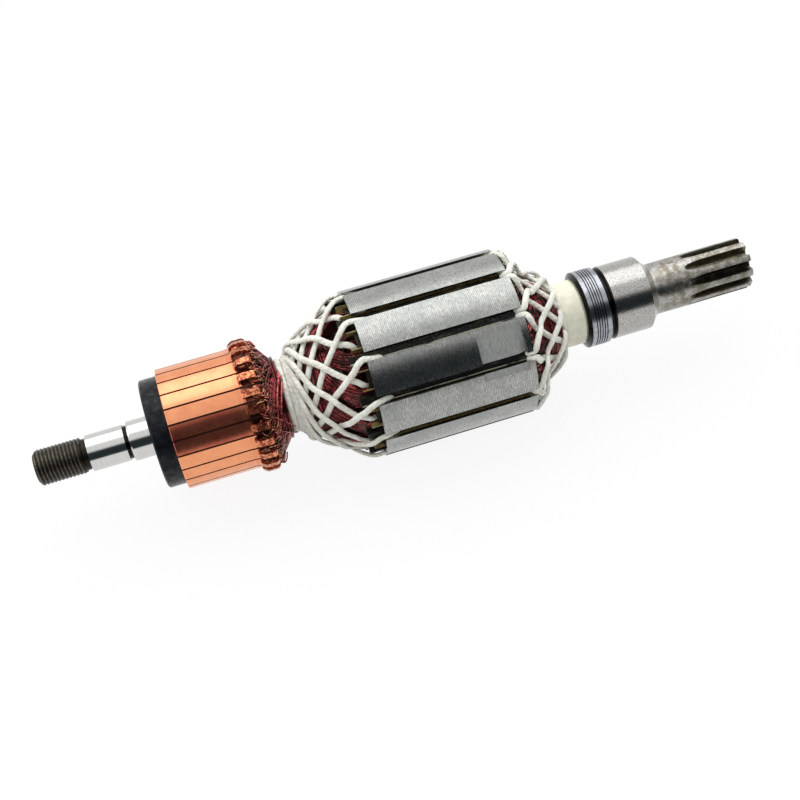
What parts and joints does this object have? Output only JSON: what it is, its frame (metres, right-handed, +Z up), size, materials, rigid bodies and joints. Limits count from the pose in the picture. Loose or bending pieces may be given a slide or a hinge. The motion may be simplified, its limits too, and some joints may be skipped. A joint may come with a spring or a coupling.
{
  "type": "wound armature of a universal motor",
  "caption": "Motor armature with a slotted core, laced windings, copper commutator and a steel shaft with pinion teeth at one end and a thread at the other.",
  "frame": {"origin": "on the shaft's axis, in the middle of the drive bearing", "axes": "+X along the shaft towards the pinion, +Z up as the armature lies on its core"},
  "size_m": [0.2443, 0.056, 0.056],
  "materials": {
    "shaft_steel": "polished",
    "ring_steel": "satin",
    "sleeve_plastic": "satin",
    "bush_steel": "satin",
    "hub_phenolic": "gloss",
    "bar_copper": "turned",
    "mica": "matte",
    "core_steel": "ground",
    "end_plate_fibre": "matte",
    "slot_paper": "satin",
    "slot_wedge": "satin",
    "winding_copper": "varnished",
    "twine": "woven"
  },
  "bodies": {
    "root": {"shaft": "shaft_steel", "labyrinth_ring": "ring_steel", "insulating_sleeve": "sleeve_plastic", "commutator_bush": "bush_steel", "commutator_hub": "hub_phenolic", "mica_segments": "mica", "commutator_bar_1": "bar_copper", "commutator_bar_2": "bar_copper", "commutator_bar_3": "bar_copper", "commutator_bar_4": "bar_copper", "commutator_bar_5": "bar_copper", "commutator_bar_6": "bar_copper", "commutator_bar_7": "bar_copper", "commutator_bar_8": "bar_copper", "commutator_bar_9": "bar_copper", "commutator_bar_10": "bar_copper", "commutator_bar_11": "bar_copper", "commutator_bar_12": "bar_copper", "commutator_bar_13": "bar_copper", "commutator_bar_14": "bar_copper", "commutator_bar_15": "bar_copper", "commutator_bar_16": "bar_copper", "commutator_bar_17": "bar_copper", "commutator_bar_18": "bar_copper", "commutator_bar_19": "bar_copper", "commutator_bar_20": "bar_copper", "commutator_bar_21": "bar_copper", "commutator_bar_22": "bar_copper", "commutator_bar_23": "bar_copper", "commutator_bar_24": "bar_copper", "core_stack": "core_steel", "end_plate_commutator_side": "end_plate_fibre", "end_plate_drive_side": "end_plate_fibre", "slot_liners": "slot_paper", "slot_wedges": "slot_wedge", "coil_1": "winding_copper", "coil_2": "winding_copper", "coil_3": "winding_copper", "coil_4": "winding_copper", "coil_5": "winding_copper", "coil_6": "winding_copper", "coil_7": "winding_copper", "coil_8": "winding_copper", "coil_9": "winding_copper", "coil_10": "winding_copper", "coil_11": "winding_copper", "coil_12": "winding_copper", "winding_leads": "winding_copper", "neck_wires": "winding_copper", "neck_binding": "twine", "lacing_commutator_side": "twine", "lacing_drive_side": "twine"}
  },
  "joints": []
}
